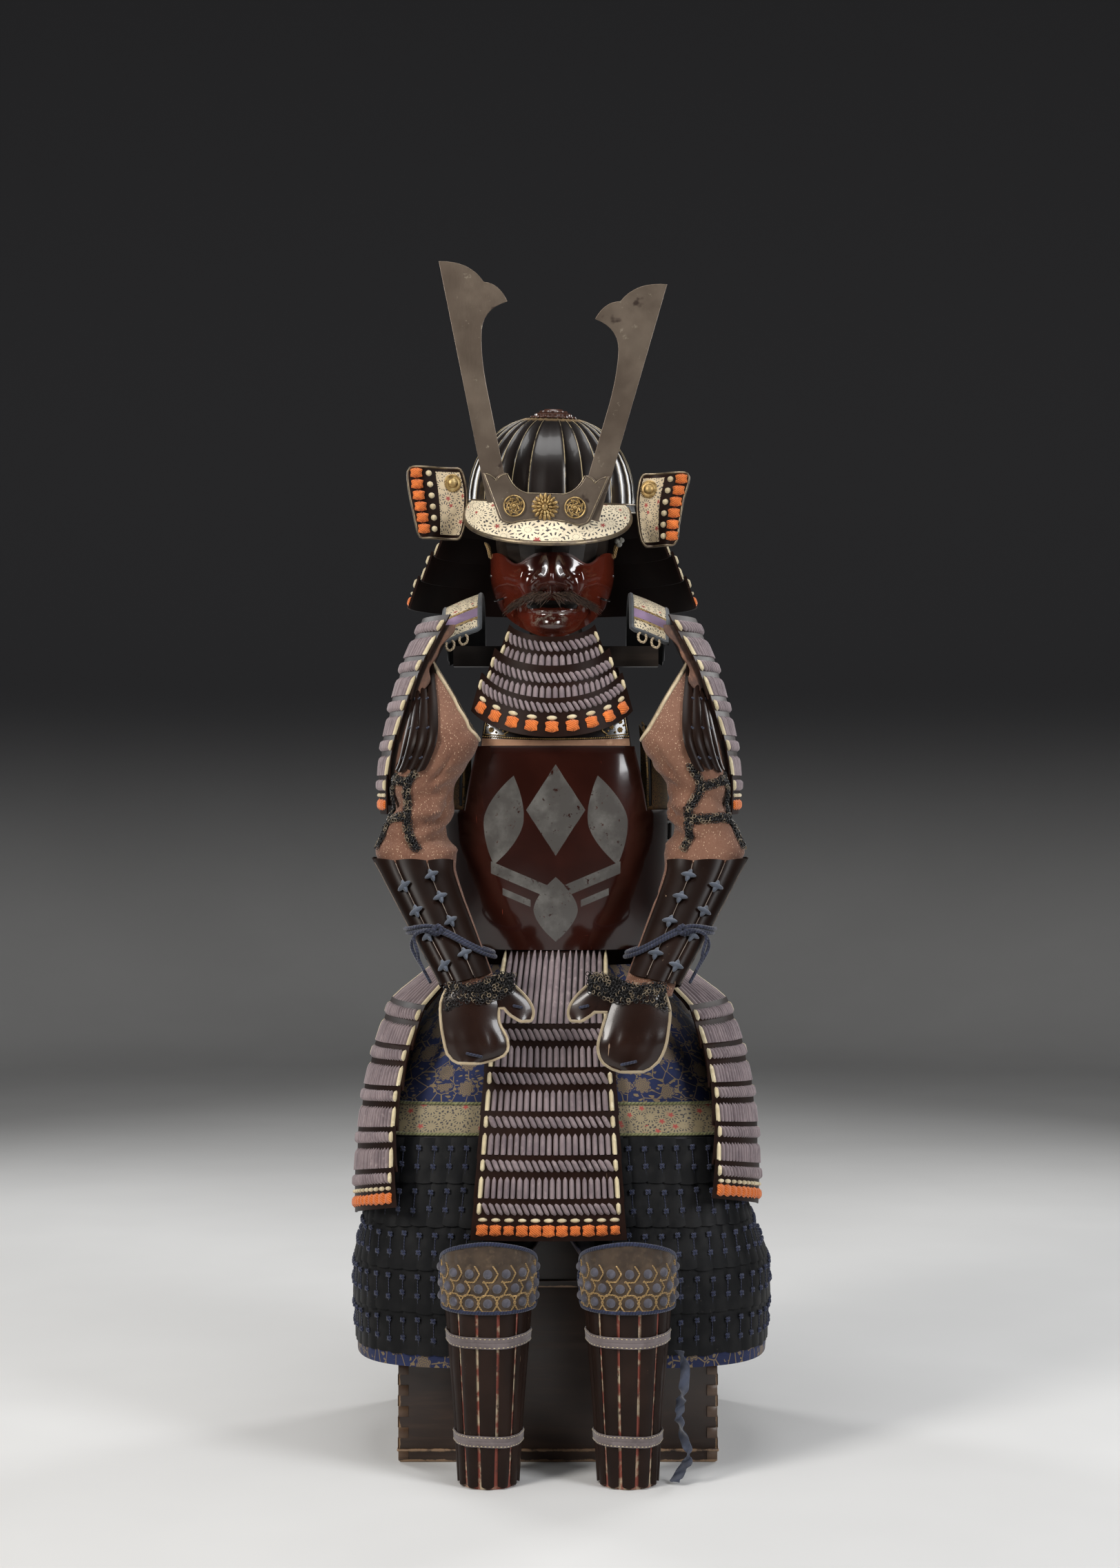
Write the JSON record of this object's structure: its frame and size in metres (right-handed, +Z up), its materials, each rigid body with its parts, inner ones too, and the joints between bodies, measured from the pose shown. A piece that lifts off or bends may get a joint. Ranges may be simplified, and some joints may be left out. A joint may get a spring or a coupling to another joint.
{
  "type": "samurai armour on a wooden storage chest stand",
  "caption": "Suit of samurai armour with horned helmet, half mask, laced guards and sleeves, set out as worn on its wooden storage chest and a hidden stand.",
  "frame": {"origin": "on the floor, on the underside of the storage chest, under the middle of the armour", "axes": "+Z up, the wearer faces -Y, so +X is the wearer's left"},
  "size_m": [0.5682, 0.5951, 1.5868],
  "materials": {
    "wood": "lacquered and worn",
    "plain_wood": "plain planed",
    "black_lacquer": "gloss",
    "russet_lacquer": "high gloss",
    "brown_lacquer": "gloss",
    "bronze": "aged, dull",
    "gilt": "gilt, worn",
    "printed_leather": "matte, printed",
    "grey_lacing": "braided silk lacing over lacquered lames",
    "fleck_cloth": "woven, flecked",
    "brocade": "silk brocade",
    "black_leather": "lacquered leather",
    "suede": "suede",
    "indigo_cord": "cord",
    "grey_tape": "woven tape",
    "hair": "coarse hair"
  },
  "bodies": {
    "root": {"chest_body": "wood", "chest_lid": "wood", "stand": "plain_wood", "cuirass_front": "russet_lacquer", "cuirass_back": "russet_lacquer", "mask": "russet_lacquer", "chest_band": "black_lacquer", "helmet_bowl": "black_lacquer", "armpit_plate_right": "printed_leather", "armpit_plate_left": "printed_leather", "shoulder_strap_right": "printed_leather", "shoulder_strap_left": "printed_leather", "visor": "printed_leather", "crown_fitting": "brown_lacquer", "turnback_right": "brown_lacquer", "turnback_left": "brown_lacquer", "upper_splints_right": "brown_lacquer", "upper_splints_left": "brown_lacquer", "forearm_plates_right": "brown_lacquer", "forearm_plates_left": "brown_lacquer", "hand_plate_right": "brown_lacquer", "hand_plate_left": "brown_lacquer", "thumb_plate_right": "brown_lacquer", "thumb_plate_left": "brown_lacquer", "shin_guard_right": "brown_lacquer", "shin_guard_left": "brown_lacquer", "crest_holder": "bronze", "crest_horn_right": "bronze", "crest_horn_left": "bronze", "crest_boss_right": "gilt", "crest_boss_middle": "gilt", "crest_boss_left": "gilt", "neck_lame_1": "black_lacquer", "neck_lame_2": "black_lacquer", "neck_lame_3": "black_lacquer", "neck_lame_4": "black_lacquer", "moustache": "hair", "throat_lame_1": "grey_lacing", "throat_lame_2": "grey_lacing", "throat_lame_3": "grey_lacing", "tasset_1": "grey_lacing", "tasset_2": "grey_lacing", "tasset_3": "grey_lacing", "tasset_4": "grey_lacing", "tasset_5": "grey_lacing", "tasset_6": "grey_lacing", "tasset_7": "grey_lacing", "shoulder_guard_right": "grey_lacing", "shoulder_guard_left": "grey_lacing", "sleeve_right": "fleck_cloth", "sleeve_left": "fleck_cloth", "wrist_tie_right": "indigo_cord", "wrist_tie_left": "indigo_cord", "thigh_cloth_right": "brocade", "thigh_cloth_left": "brocade", "thigh_guard_right": "black_leather", "thigh_guard_left": "black_leather", "knee_flap_right": "suede", "knee_flap_left": "suede", "shin_ribbon": "grey_tape"}
  },
  "joints": []
}
